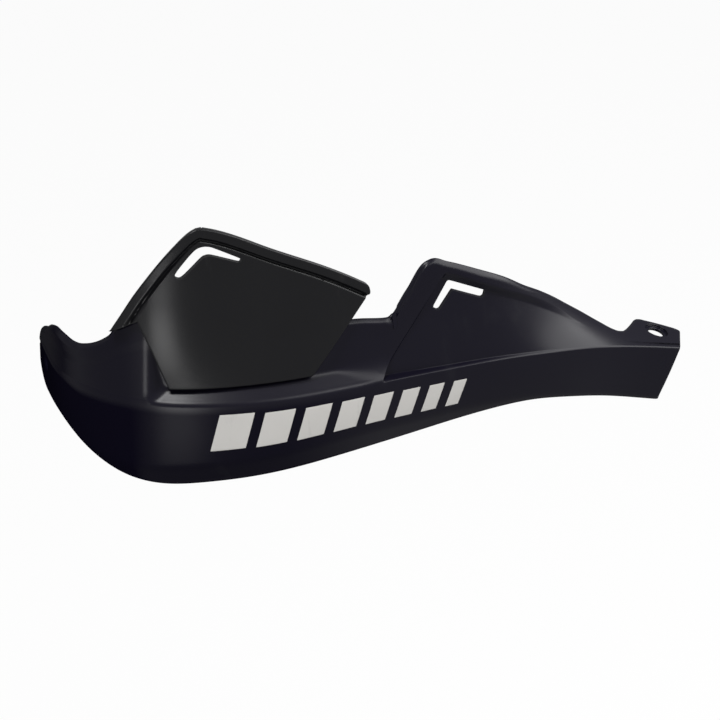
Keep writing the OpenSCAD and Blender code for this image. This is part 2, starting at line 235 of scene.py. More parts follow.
# Draws a flat grid in from its rim by the lip's radius, fading out over the first few millimetres
def drawIn(flat, kept, lip, fade=5.0):
    rim = gridCells(kept)[1]
    after = dict((int(a), int(b)) for a, b in rim)
    loop = [int(rim[0, 0])]
    while after[loop[-1]] != loop[0]:
        loop.append(after[loop[-1]])
    a = flat[loop]
    e = np.roll(a, -1, 0) - a
    area = (a[:, 0] * np.roll(a[:, 1], -1) - a[:, 1] * np.roll(a[:, 0], -1)).sum()
    n = unit(np.stack([-e[:, 1], e[:, 0]], 1)) * np.sign(area)
    corner = unit(n + np.roll(n, 1, 0))
    corner /= np.maximum((corner * n).sum(1), 0.6)[:, None]
    long = (e * e).sum(1)
    moved = flat.copy()
    block = 2000  # points at a time, so that the tables of distances stay small
    for start in range(0, len(flat), block):
        p = flat[start:start + block]
        t = np.clip(((p[:, None] - a[None]) * e[None]).sum(-1) / long[None], 0, 1)
        gap = np.linalg.norm(p[:, None] - a[None] - t[..., None] * e[None], axis=-1)
        k = gap.argmin(1)
        row = np.arange(len(p))
        way = corner[k] * (1 - t[row, k])[:, None] + np.roll(corner, -1, 0)[k] * t[row, k][:, None]
        moved[start:start + block] += way * (lip * np.maximum(0, 1 - gap[row, k] / fade))[:, None]
    return moved


def across(axis):  # two directions square to the axis and to each other
    x = unit(np.cross([0.3, 1, 0.2], axis))
    return x, np.cross(axis, x)


# Turns a line of (radius, height) round the axis, from pole to pole
def sweepRound(profile, steps, axis, at=(0, 0, 0)):
    p = np.asarray(profile, float)
    turn = np.linspace(0, 2 * math.pi, steps, endpoint=False)
    z = unit(np.asarray(axis, float))
    x, y = across(z)
    ring = np.cos(turn)[:, None] * x + np.sin(turn)[:, None] * y
    body = p[1:-1]
    points = np.asarray(at) + ring[:, None] * body[None, :, :1] + z * body[None, :, 1:]
    n = len(body)
    poles = [np.asarray(at) + z * p[0, 1], np.asarray(at) + z * p[-1, 1]]
    faces = []
    for k in range(steps):
        m = (k + 1) % steps
        faces += [(k * n + i, m * n + i, m * n + i + 1, k * n + i + 1) for i in range(n - 1)]
        faces.append((steps * n, m * n, k * n))
        faces.append((steps * n + 1, k * n + n - 1, m * n + n - 1))
    return np.concatenate([points.reshape(-1, 3), poles]), faces


def smoothLoop(points, steps=8):  # closed smooth line through the points
    p = np.asarray(points, float)
    a, b, c, d = (np.roll(p, s, 0)[:, None] for s in (1, 0, -1, -2))
    t = (np.arange(steps) / steps)[None, :, None]
    line = b + 0.5 * t * (c - a + t * (2 * a - 5 * b + 4 * c - d + t * (3 * (b - c) + d - a)))
    return line.reshape(-1, 2)


def roundLoop(corners, steps=6):  # closed line with each corner [x, y, radius] rounded
    p = np.asarray(corners, float)
    out = []
    for k in range(len(p)):
        at, radius = p[k, :2], p[k, 2]
        a, b = unit(p[k - 1, :2] - at), unit(p[(k + 1) % len(p), :2] - at)
        half = math.acos(max(-1, min(1, float(a @ b)))) / 2
        reach = radius / math.tan(half)
        out.append(bendThrough(at + a * reach, at, at + b * reach, np.linspace(0, 1, steps)[:, None]))
    return np.concatenate(out)


def prismFaces(n):  # the faces between two rings of n points, and both ends
    sides = [(i, (i + 1) % n, n + (i + 1) % n, n + i) for i in range(n)]
    return sides + [tuple(range(n))[::-1], tuple(range(n, 2 * n))]


def prism(outline, y0, y1):  # a closed prism along Y from an outline in X and Z
    points = [(x, y0, z) for x, z in outline] + [(x, y1, z) for x, z in outline]
    return np.array(points), prismFaces(len(outline))


def joined(name, parts):  # one piece from several closed shapes, with all faces turned outwards
    points, faces, start = [], [], 0
    for p, f in parts:
        points.append(np.asarray(p))
        faces += [tuple(int(i) + start for i in g) for g in f]
        start += len(p)
    piece = linkMesh(name, np.concatenate(points), faces)
    bpy.context.view_layer.objects.active = piece
    bpy.ops.object.select_all(action="DESELECT")
    piece.select_set(True)
    bpy.ops.object.mode_set(mode="EDIT")
    bpy.ops.mesh.select_all(action="SELECT")
    bpy.ops.mesh.normals_make_consistent(inside=False)
    bpy.ops.object.mode_set(mode="OBJECT")
    return piece


def combine(piece, other, operation):  # adds or cuts the other shape, which is used up
    m = piece.modifiers.new("combine", "BOOLEAN")
    m.operation = operation
    m.solver = "EXACT"
    m.object = other
    bpy.context.view_layer.update()
    dg = bpy.context.evaluated_depsgraph_get()
    made = bpy.data.meshes.new_from_object(piece.evaluated_get(dg))
    piece.modifiers.clear()
    piece.data = made
    bpy.data.objects.remove(other)


def dress(piece, finish, node):
    piece.data.materials.clear()
    piece.data.materials.append(finish)
    piece.data.set_sharp_from_angle(angle=math.radians(sharpAngle))
    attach(piece, "root")
    if node:
        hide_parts(node)
    print(piece.name, "made,", len(piece.data.polygons), "faces")


# Materials

class Field:  # a socket: sums on it add Math nodes
    def __init__(self, net, socket):
        self.net, self.socket = net, socket

    def math(self, operation, a, b):
        return self.net.add("ShaderNodeMath", {"operation": operation}, [a, b])

    def __add__(self, other):
        return self.math("ADD", self, other)

    def __sub__(self, other):
        return self.math("SUBTRACT", self, other)

    def __mul__(self, other):
        return self.math("MULTIPLY", self, other)

    def __rsub__(self, other):
        return self.math("SUBTRACT", other, self)

    __radd__ = __add__
    __rmul__ = __mul__


class Finish:  # the nodes of a material or of the world
    def __init__(self, owner):
        owner.use_nodes = True
        self.owner, self.tree = owner, owner.node_tree
        self.tree.nodes.clear()

    # A node of the given type: its settings first, then its sockets' values or links. Gives one output
    def add(self, kind, settings=None, sockets=None, out=0):
        node = self.tree.nodes.new(kind)
        for key, value in (settings or {}).items():
            setattr(node, key, value)
        pairs = sockets.items() if isinstance(sockets, dict) else enumerate(sockets or [])
        for key, value in pairs:
            if isinstance(value, Field):
                self.tree.links.new(value.socket, node.inputs[key])
            else:
                node.inputs[key].default_value = value
        return Field(self, node.outputs[out]) if node.outputs else None

    def blend(self, factor, one, two):  # Mix takes its colours in sockets 6 and 7 and gives output 2
        return self.add("ShaderNodeMix", {"data_type": "RGBA"}, {0: factor, 6: one, 7: two}, 2)

    def place(self, stretch=(1, 1, 1)):  # the point on the object, in metres
        where = self.add("ShaderNodeTexCoord", out="Object")
        return self.add("ShaderNodeVectorMath", {"operation": "MULTIPLY"}, [where, stretch])

    def along(self, axis):  # the place along X, Y or Z
        return self.add("ShaderNodeSeparateXYZ", {}, {"Vector": self.place()}, axis)

    def noise(self, scale, detail, rough=0.5, stretch=(1, 1, 1)):
        return self.add("ShaderNodeTexNoise", {}, {"Vector": self.place(stretch), "Scale": scale,
                                                   "Detail": detail, "Roughness": rough})

    def mask(self, field, low, high):  # 0 below low and 1 above high
        return self.add("ShaderNodeMapRange", {"interpolation_type": "SMOOTHSTEP"},
                        {"Value": field, "From Min": low, "From Max": high})

    def mixShaders(self, factor, one, two):
        return self.add("ShaderNodeMixShader", {}, {0: factor, 1: one, 2: two})

    def surface(self, sockets, dull=None):  # dull is the share that has no gloss at all
        shader = self.add("ShaderNodeBsdfPrincipled", {}, sockets)
        if dull is not None:
            same = {"Color": sockets["Base Color"], "Normal": sockets["Normal"]}
            shader = self.mixShaders(dull, shader, self.add("ShaderNodeBsdfDiffuse", {}, same))
        return self.end(shader)

    def end(self, shader, kind="ShaderNodeOutputMaterial"):
        self.add(kind, {}, {"Surface": shader})
        return self.owner


# Where the gloss fades: at a range of flat angles, and in metres along X for the wing's end and the band's
# end and along Z for the band's top. The fades on the wing and the band are painted shade: those places
# lose gloss only by their place, so that they render darker
fading = {
    "flatAngle": (0.38, 0.62),
    "wingEnd": (0.027, 0.038),
    "bandShadeTop": (0.001, 0.006),
    "bandShadeEnd": (0.1, 0.17),
}


# Moulded plastic with cloudy gloss, fine mould grain and light handling scuffs
def mouldedPlastic(name, look):
    f = Finish(bpy.data.materials.new(name))
    cloud = f.noise(look["cloud"], 4.0)
    grain = f.noise(look["grain"], 2.0)
    scuff = f.mask(f.noise(look["scuff"], 5.0, 0.6, (1, 1, 0.25)), 0.6, 0.78)
    colour = f.blend(cloud, look["dark"], look["light"])
    dull = look["dull"]
    facing = f.add("ShaderNodeLayerWeight", {}, {"Blend": 0.5}, "Facing")
    x, z = f.along("X"), f.along("Z")
    # painted shade: the band's lower left loses gloss by its place, so that it renders darker
    band = (1 - f.mask(z, *fading["bandShadeTop"])) * (1 - f.mask(x, *fading["bandShadeEnd"]))
    # the wing's and the band's shares are painted shade; the flat-angle share and the share everywhere are
    # plain gloss
    share = (f.mask(facing, *fading["flatAngle"]) * dull["flat"]
             + (1 - f.mask(x, *fading["wingEnd"])) * dull["wing"] + band * dull["band"] + dull["all"])
    grainy = {"Strength": look["bump"], "Distance": look["height"], "Height": grain}
    return f.surface({
        "Base Color": f.blend(scuff * look["wear"], colour, look["worn"]),
        "Roughness": cloud * look["spread"] + scuff * 0.1 + (look["rough"] - look["spread"] / 2),
        "Normal": f.add("ShaderNodeBump", {}, grainy),
        "Specular IOR Level": look["specular"],
    }, share)


# The dull shares are the parts of the surface without gloss: everywhere, at flat angles, on the wing and on
# the band. The shares on the wing and the band are painted shade, which makes those places render darker
finishes = {
    "shell": {"dark": (0.0019, 0.0016, 0.0042, 1), "light": (0.0029, 0.0025, 0.0056, 1), "cloud": 14.0,
              "worn": (0.007, 0.007, 0.009, 1), "wear": 0.4, "scuff": 60.0, "rough": 0.31, "spread": 0.06,
              "grain": 1500.0, "bump": 0.12, "height": 0.00008, "specular": 0.21,
              # the wing's and the band's dull shares are painted shade
              "dull": {"all": 0.5, "flat": 0.3, "wing": 0.16, "band": 0.37}},
    "panel": {"dark": (0.0022, 0.0022, 0.0028, 1), "light": (0.0034, 0.0034, 0.004, 1), "cloud": 18.0,
              "worn": (0.012, 0.012, 0.012, 1), "wear": 0.5, "scuff": 75.0, "rough": 0.3, "spread": 0.06,
              "grain": 2200.0, "bump": 0.25, "height": 0.00012, "specular": 0.2,
              "dull": {"all": 0.35, "flat": 0.3, "wing": 0, "band": 0}},
    "ink": {"dark": (0.28, 0.274, 0.262, 1), "light": (0.325, 0.318, 0.305, 1), "cloud": 25.0,
            "worn": (0.12, 0.12, 0.12, 1), "wear": 0.35, "scuff": 120.0, "rough": 0.55, "spread": 0.08,
            "grain": 3500.0, "bump": 0.2, "height": 0.00004, "specular": 0.3,
            "dull": {"all": 0.3, "flat": 0.3, "wing": 0, "band": 0}},
    "steel": {"dark": (0.02, 0.02, 0.021, 1), "light": (0.035, 0.035, 0.036, 1), "cloud": 220.0,
              "worn": (0.16, 0.16, 0.16, 1), "wear": 0.5, "scuff": 900.0, "rough": 0.5, "spread": 0.15,
              "bump": 0.15, "height": 0.00005, "metallic": 0.85},
}


def screwSteel(name, look):  # blackened steel, a little brighter where a driver has rubbed it
    f = Finish(bpy.data.materials.new(name))
    cloud = f.noise(look["cloud"], 4.0)
    rubbed = f.mask(f.noise(look["scuff"], 3.0), 0.58, 0.75)
    colour = f.blend(cloud, look["dark"], look["light"])
    uneven = {"Strength": look["bump"], "Distance": look["height"], "Height": cloud}
    return f.surface({
        "Base Color": f.blend(rubbed * look["wear"], colour, look["worn"]),
        "Roughness": look["rough"] - cloud * look["spread"],
        "Metallic": look["metallic"],
        "Normal": f.add("ShaderNodeBump", {}, uneven),
    })


shellPlastic = mouldedPlastic("shellPlastic", finishes["shell"])
panelPlastic = mouldedPlastic("panelPlastic", finishes["panel"])
printInk = mouldedPlastic("printInk", finishes["ink"])
blackenedSteel = screwSteel("blackenedSteel", finishes["steel"])
print("materials made")


# The shell. A pair whose name ends in Rise, Fade, Side or End is a start and a length in pitches

shell = {
    "wall": 3.0,
    "crown": 0.5,
    "crownRise": (0, 3),
    "chamferHeight": 12.0,
    "leastChamfer": 0.2,
    "chamferDepth": 5.0,
    "roll": 2.0,
    "lip": 1.0,
    "creaseRound": 1.3,
    "creaseLeast": 0.3,
    "creaseRise": (0, 2),
    "creaseFade": (9.8, 0.6),
    "creaseLess": 0.55,
    "chamferRound": 2.6,
    "mostMitre": 1.5,
    "columnStep": 1.0,
    # rows of the grid from the bottom edge to the top, and how far the rows keep off the lines they follow
    "rows": {"chamfer": 4, "lowBend": 6, "band": 14, "highBend": 7, "slope": 12, "wall": 15, "recess": 14,
             "rim": 5, "roll": 10},
    "room": {"ledge": 1.5, "foot": 0.8, "edge": 1.0, "roll": 1.2},
    # the most of the chamfer's and of the band's height that a bend may take
    "mostBend": (0.4, 0.2),
    # the upper edge: u and the height above the crease
    "top": [[0, 9.9], [0.7, 12.54], [1.2, 18.48], [1.6, 21.34], [2.1, 22], [2.44, 21.56], [2.73, 22],
            [3.03, 23.76], [3.3, 26.18], [3.55, 29.48], [3.73, 32.78], [3.83, 35.97], [4.2, 41.58],
            [4.6, 45.54], [5.2, 45.54], [7, 42.9], [8.8, 36.96], [9.5, 33.5], [9.8, 33], [10.5, 31.35],
            [11, 44.25], [11.46, 57.82], [11.62, 58.7], [11.93, 56.05], [12.1, 54.575], [12.75, 48.675],
            [13.45, 42.6], [14.1, 36.46], [14.7, 32.98], [15.35, 29.8], [15.9, 26.49], [16.36, 20.47],
            [16.6, 16.2], [16.74, 14.9], [16.86, 15.1], [17.0, 17.0], [17.22, 21.4], [17.44, 26.4],
            [17.52, 28.3], [17.6, 29.5], [17.68, 29.7], [17.76, 29.0], [18.3, 23.3], [18.45, 21.3],
            [18.52, 19.2]],
    # how the rolled edge grows from the bar end, grows taller at the fin's left side and fades at the tab
    "rollRise": (0, 1.2),
    "rollFade": (15.5, 1.5),
    "rollLess": 0.7,
    "finSide": (10.4, 0.3),
    "finSideEnd": (11.1, 0.4),
    "rollHeight": (2.4, 3),
    "rollShare": 0.2,
    "rollRound": 0.9,
    # where the slope from the crease reaches the seat or the land: the least height and the steps in it
    "ledge": 1.5,
    "ledgeSteps": [(6.5, 4.72, 0.36), (-7.0, 9.6, 0.6), (2.0, 12.5, 3)],
    "slopeRound": (0.4, 3.2, 4.5),
    "footRound": (1.5, 6),
    "footRise": (9, 1.2),
    # the recess: its left edge, its upper edge, the foot of its top wall, its floor and the land round it
    "recessLeft": (10.16, 0.0338),
    "recessTop": [[11.3, 51.2], [11.84, 50.3], [11.96, 49.4], [12.54, 43.7], [13.51, 34.6], [14.57, 27],
                  [15.09, 22.8], [15.48, 17.3], [15.91, 12.8], [16.4, 8.5], [17, 5]],
    "recessFoot": [[11.3, 48.5], [11.97, 45], [12.92, 35.6], [13.72, 29.5], [14.67, 22.5], [15.36, 16.9],
                   [15.91, 11], [16.4, 6.5], [17, 3.5]],
    "floorLine": [[10.1, 5.6], [10.3, 5.4], [11.6, 3.4], [12.8, 2.3], [13.8, 1.4], [15.9, 0.6]],
    "floorLean": 25,
    "floorFade": (14, 1.9),
    "recessRound": 0.14,
    "recessSlope": 0.8,
    "turnRound": 0.2,
    "landStart": [[0, 4.8], [15, 4.6], [31, 3.5], [50, 2], [60, 1.6]],
    "landLeft": (9.15, 0.15),
    "landFade": 1.3,
    "shelf": 0.9,
    "shelfRound": 0.35,
    # left of the recess the rows lie at a share of the height, and this far below it
    "edgeShare": [[0, 0.66], [4, 0.7], [9.5, 0.8], [10.5, 0.84], [12.02, 0.908]],
    "footGap": [[0, 2], [2, 4], [10.5, 5], [12, 5]],
    # column lines: u at the bottom edge, at the crease and at the top
    "fans": [[0.065, 0.065, 0.065], [0.18, 0.18, 0.18], [0.39, 0.39, 0.39], [0.78, 0.78, 0.78],
             [4.72, 4.72, 4.72], [5.08, 5.08, 4.85], [5.45, 5.45, 5.3], [9.4, 9.4, 9.5], [9.85, 9.85, 10.4],
             [10.0, 10.0, 11.1], [10.09, 10.09, 11.62], [10.14, 10.14, 12.0], [10.19, 10.19, 12.06],
             [10.25, 10.25, 12.13], [10.95, 10.95, 12.75], [11.75, 11.75, 13.45], [12.65, 12.65, 14.1],
             [13.6, 13.6, 14.7], [14.6, 14.6, 15.35], [15.4, 15.4, 15.9], [15.95, 15.95, 16.36],
             [16.35, 16.35, 16.7], [16.5, 16.55, 16.88], [16.65, 16.8, 17.1], [16.87, 17.1, 17.5],
             [16.95, 17.2, 17.6], [17.05, 17.32, 17.72], [17.47, 18.01, 18.5]],
    "recessFan": 11,
    "fanSteps": {8: 22, 9: 14, 10: 8, 11: 10},
    "barHole": 4.25,
    "tabSpot": (17.84, 17.6),
    "tabHole": 4.25,
    "tabSeat": 6.25,
    "tabSeatDepth": 1.2,
    # the vent in the fin, as corners [x, z, radius]
    "finVent": [[187.9, 38.3, 1.9], [197.0, 51.4, 1.6], [218.0, 42.3, 1.7], [216.6, 38.1, 1.9],
                [199.4, 45.4, 0.7], [191.5, 35.9, 1.9]],
    "ventCut": (-90, -55),
    # the panel's screws, as u and w, with the hole for each boss and the pad round it as radius and height
    "screwSpots": [(6.5, 15), (8.5, 15), (6.9, 26), (8.9, 26)],
    "bossHole": 3.8,
    "pad": (6.0, 1.0),
}


# Each column's u at the bottom, the crease and the top, and 0 left of the recess to 1 in it
def shellColumns():
    fans = np.array(shell["fans"], float)
    lines, turn = [], []
    for k in range(len(fans) - 1):
        reach = np.abs(fans[k + 1] - fans[k]).max() * chart["pitch"]
        steps = shell["fanSteps"].get(k, max(2, int(round(reach / shell["columnStep"]))))
        for i in range(steps):
            t = i / steps
            lines.append(fans[k] + (fans[k + 1] - fans[k]) * t)
            turn.append(0 if k < shell["recessFan"] else t if k == shell["recessFan"] else 1)
    lines.append(fans[-1])
    turn.append(1)
    return np.array(lines), np.array(turn, float)


def column(a):
    return a[:, None]


def recessEdge(w):
    at, slant = shell["recessLeft"]
    return at + slant * w


def landDepth(u, w):  # level with the seat at the left, and forward at the fin
    edge = recessEdge(w)
    start = curve(shell["landStart"], w)
    end, before = shell["landLeft"]
    left = start + (chart["seatDepth"] - start) * ease((edge - before - u) / (edge - end))
    return np.where(u < edge, left, start * (1 - rise(u, edge, shell["landFade"])))


def skinDepth(u, w, turn, edge, foot):  # how far the upper wall lies behind the plan line
    s = shell
    upper, left, corner = s["slopeRound"]
    slope = softMin(ramp(w, upper), ramp((u - chart["seatStart"]) * chart["pitch"], left), corner)
    bend = s["footRound"][0] + s["footRound"][1] * rise(u, *s["footRise"])
    outside = np.maximum(softMin(slope, np.minimum(seatDepth(u, w), landDepth(u, w)), bend), 0)
    floor = (curve(s["floorLine"], u) + w / s["floorLean"]) * (1 - rise(u, *s["floorFade"]))
    floor = floor * softClamp(w / s["shelf"], s["shelfRound"])
    inside = outside + (floor - outside) * softClamp((edge - w) / (edge - foot), s["recessRound"])
    return outside + (inside - outside) * softClamp(turn, s["turnRound"])


def rollHeight(u, top):
    low, more = shell["rollHeight"]
    finSide = rise(u, *shell["finSide"]) * (1 - rise(u, *shell["finSideEnd"]))
    return np.minimum(low + more * finSide, top * shell["rollShare"])


def rollDepth(u):
    s = shell
    return s["roll"] * rise(u, *s["rollRise"]) * (1 - s["rollLess"] * rise(u, *s["rollFade"]))


def foldHeight(u):  # where the band meets its chamfer
    chamfer = np.maximum(shell["leastChamfer"], spline("chamfer", u))
    return -spline("drop", u) + shell["chamferHeight"] * chamfer


def crossing(line, uc, ut, top):  # height at which each column crosses a line of the recess
    samples = 400
    share = np.linspace(0, 1, samples)[None]
    u = column(uc) + column(ut - uc) * share
    gap = column(top) * share - curve(line, u)
    k = np.argmax(gap > 0, axis=1)
    row = np.arange(len(uc))
    k = np.maximum(k, 1)
    a, b = gap[row, k - 1], gap[row, k]
    return top * (share[0, k - 1] + a / (a - b) * share[0, 1])


def makeShell():
    s = shell
    lines, turn = shellColumns()
    ub, uc, ut = lines.T
    bottom = -spline("drop", ub)
    fold = foldHeight(ub)
    crease = creaseZ(uc)
    top = curve(s["top"], ut)
    left = uc < s["fans"][s["recessFan"]][1]
    edge = np.where(left, top * curve(s["edgeShare"], ut), crossing(s["recessTop"], uc, ut, top))
    foot = np.where(left, edge - curve(s["footGap"], ut), crossing(s["recessFoot"], uc, ut, top))
    foot = np.minimum(foot, edge - s["recessSlope"])
    ledge = s["ledge"]
    for height, begin, length in s["ledgeSteps"]:
        ledge = ledge + height * rise(uc, begin, length)
    start = top - rollHeight(ut, top)

    def bandPoint(f):
        u = column(ub) + column(uc - ub) * f
        z = column(fold) + column(crease - fold) * f
        return facePoint(u, z, -s["crown"] * rise(column(ub), *s["crownRise"]) * np.sin(math.pi * f))

    def chamferPoint(f):
        z = column(bottom) + column(fold - bottom) * f
        return facePoint(column(ub), z, s["chamferDepth"] * column(spline("chamfer", ub)) * (1 - f))

    def wallPoint(w):
        u = column(uc) + column((ut - uc) / top) * w
        d = skinDepth(u, w, column(turn), column(edge), column(foot))
        roll = ramp(w - column(start), s["rollRound"]) * column(rollDepth(ut) / np.maximum(top - start, 0.5))
        return skinPoint(u, w, d + roll)

    def arc(a, corner, b, count):  # a rounded bend, without its last point
        return bendThrough(a, corner, b, np.linspace(0, 1, count)[None, :, None])[:, :-1]

    def spread(a, b, count, last=0):  # count values from a towards b, reaching it where last is 1
        return column(a) + column(b - a) * np.arange(count)[None] / (count - last)

    # rows from the bottom edge to the top, with the way along the keys that the wall's offset follows
    count, room = s["rows"], s["room"]
    mostLow, mostHigh = s["mostBend"]
    none = top * 0
    tall = np.maximum(fold - bottom, 1)
    low = s["lip"] / tall
    under = np.minimum(mostLow, s["chamferRound"] / tall)
    over = np.minimum(mostHigh, s["chamferRound"] / (crease - fold))
    soft = s["creaseRound"] * rise(uc, *s["creaseRise"]) * (1 - s["creaseLess"] * rise(uc, *s["creaseFade"]))
    soft = soft + s["creaseLeast"]
    near = np.minimum(mostHigh, soft / (crease - fold))
    chamferShare = spread(low, 1 - under, count["chamfer"])
    bandShare = spread(over, 1 - near, count["band"])
    bandStart, bandShadeEnd = bandPoint(column(none)), bandPoint(column(none + 1))
    lowBend = arc(chamferPoint(column(1 - under)), bandStart, bandPoint(column(over)), count["lowBend"])
    highBend = arc(bandPoint(column(1 - near)), bandShadeEnd, wallPoint(column(soft)), count["highBend"])
    a, b, c, d = ledge + room["ledge"], foot - room["foot"], edge + room["edge"], start - room["roll"]
    w = np.concatenate([spread(soft, a, count["slope"]), spread(a, b, count["wall"]),
                        spread(b, c, count["recess"]), spread(c, d, count["rim"]),
                        spread(d, top - s["lip"] * 0.75, count["roll"], 1)], 1)
    rows = [chamferPoint(chamferShare), lowBend, bandPoint(bandShare), highBend, wallPoint(w)]
    marks = np.stack([none, ledge, foot, edge, start, top], 1)
    up = np.zeros_like(w)
    last = marks.shape[1] - 1
    for k in range(last):
        t = (w - column(marks[:, k])) / np.maximum(column(marks[:, k + 1] - marks[:, k]), 0.2)
        up += np.clip(t, 0, 1)
    lowWay = spread(1 - under, 1 + over, count["lowBend"] - 1)
    highWay = spread(2 - near, 2 + np.minimum(soft / ledge, 0.9), count["highBend"] - 1)
    way = np.concatenate([chamferShare, lowWay, 1 + bandShare, highWay, 2 + up], 1)
    outer = np.concatenate(rows, 1)

    # the offset of the wall's inner face at each key, mitred in the section
    corner = np.concatenate([chamferPoint(column(none)), bandStart, bandShadeEnd]
                            + [wallPoint(column(marks[:, k])) for k in range(1, last + 1)], 1)
    back, ahead = uc - 0.02, uc + 0.02
    before = np.concatenate([planPoint(back), column(creaseZ(back))], 1)
    after = np.concatenate([planPoint(ahead), column(creaseZ(ahead))], 1)
    along = unit(after - before)[:, None]
    step = np.diff(corner, axis=1)
    n0 = unit(np.cross(along, np.concatenate([step[:, :1], step], 1)))
    n1 = unit(np.cross(along, np.concatenate([step, step[:, -1:]], 1)))
    m = unit(n0 + n1)
    offset = -m * s["wall"] * np.minimum(s["mostMitre"], 1 / (m * n0).sum(-1, keepdims=True))
    k = np.clip(np.floor(way).astype(int), 0, corner.shape[1] - 2)
    t = (way - k)[..., None]
    index = np.arange(len(lines))[:, None]
    inner = outer + offset[index, k] * (1 - t) + offset[index, k + 1] * t
    kept = np.ones((outer.shape[0] - 1, outer.shape[1] - 1), bool)
    points, faces = closeSkin(outer, inner, kept, s["lip"])
    return linkMesh("guardShell", points, faces)


def seatFrame(u, w):  # a point on the seat and the direction out of its back
    def at(a, b):
        return skinPoint(a, b, seatDepth(a, b))

    up, sideways = at(u, w + 1.0) - at(u, w - 1.0), at(u + 0.05, w) - at(u - 0.05, w)
    return at(u, w), unit(np.cross(up, sideways))


def tabFrame():  # the middle of the tab's hole and the direction of its axis
    u, w = shell["tabSpot"]
    a = skinPoint(u, w + 2, 0.0) - skinPoint(u, w - 2, 0.0)
    b = skinPoint(u + 0.1, w, 0.0) - skinPoint(u - 0.1, w, 0.0)
    return skinPoint(u, w, 0.0), unit(np.cross(b, a))


def finishShell(piece):  # the pads and the holes
    s = shell
    at, n = tabFrame()
    bar, bolt, washer, boss = s["barHole"], s["tabHole"], s["tabSeat"], s["bossHole"]
    low, seat = -s["wall"], -s["tabSeatDepth"]
    barLine = [(0, -6), (bar + 0.5, -6), (bar + 0.5, 0), (bar, 0.5), (bar, 2.6), (bar + 0.4, 3),
               (bar + 0.4, 6), (0, 6)]
    tabLine = [(0, -9), (bolt + 0.4, -9), (bolt + 0.4, low), (bolt, low + 0.4), (bolt, seat - 0.3),
               (bolt + 0.3, seat), (washer - 0.2, seat), (washer, seat + 0.2), (washer, -0.3),
               (washer + 0.35, 0.05), (washer + 0.35, 5), (0, 5)]
    holes = [sweepRound(barLine, 64, (1, 0, 0)), sweepRound(tabLine, 72, n, at),
             prism(roundLoop(s["finVent"]), *s["ventCut"])]
    pads = []
    radius, height = s["pad"]
    high = s["wall"] + height
    padLine = [(0, 1.2), (radius, 1.2), (radius, high - 0.4), (radius - 0.4, high), (0, high)]
    bossLine = [(0, -3), (boss, -3), (boss, high - 0.3), (boss + 0.35, high + 0.05), (boss + 0.35, 9),
                (0, 9)]
    for u, w in s["screwSpots"]:
        spot, axis = seatFrame(u, w)
        pads.append(sweepRound(padLine, 56, axis, spot))
        holes.append(sweepRound(bossLine, 40, axis, spot))
    combine(piece, joined("pads", pads), "UNION")
    combine(piece, joined("holes", holes), "DIFFERENCE")


guardShell = makeShell()
finishShell(guardShell)
dress(guardShell, shellPlastic, "guard_shell")


# The print on the band: plain slanted bars that grow shorter towards the tab

bars = {
    # start, widths and gaps in pitches, and the lower and upper ends as shares of the band's height at u
    "start": 6.2,
    "widths": [0.78, 0.7, 0.62, 0.55, 0.48, 0.42, 0.36, 0.31],
    "gap": 0.24,
    "low": [[6, 0.25], [13, 0.14]],
    "high": [[6, 0.84], [13, 0.66]],
    "slant": 0.22,
    "lift": 0.1,
    "sunk": 0.3,
    "lip": 0.05,
    "columnsPerPitch": 24,
    "rows": 18,
}


def makeBars():
    b, s = bars, shell
    parts, at = [], b["start"]
    for width in b["widths"]:
        wide = np.linspace(0, 1, max(4, int(width * b["columnsPerPitch"])))[:, None]
        tall = np.linspace(0, 1, b["rows"])[None]
        low, high = curve(b["low"], at), curve(b["high"], at)
        u = at + width * wide + b["slant"] * (tall - 0.5)
        f = low + (high - low) * tall
        fold = foldHeight(u)
        z = fold + (creaseZ(u) - fold) * f
        d = -s["crown"] * np.sin(math.pi * f)
        kept = np.ones((wide.shape[0] - 1, tall.shape[1] - 1), bool)
        front, back = facePoint(u, z, d - b["lift"]), facePoint(u, z, d + b["sunk"])
        parts.append(closeSkin(front, back, kept, b["lip"]))
        at += width + b["gap"]
    return joined("printBars", parts)


dress(makeBars(), printInk, None)


# The vented panel

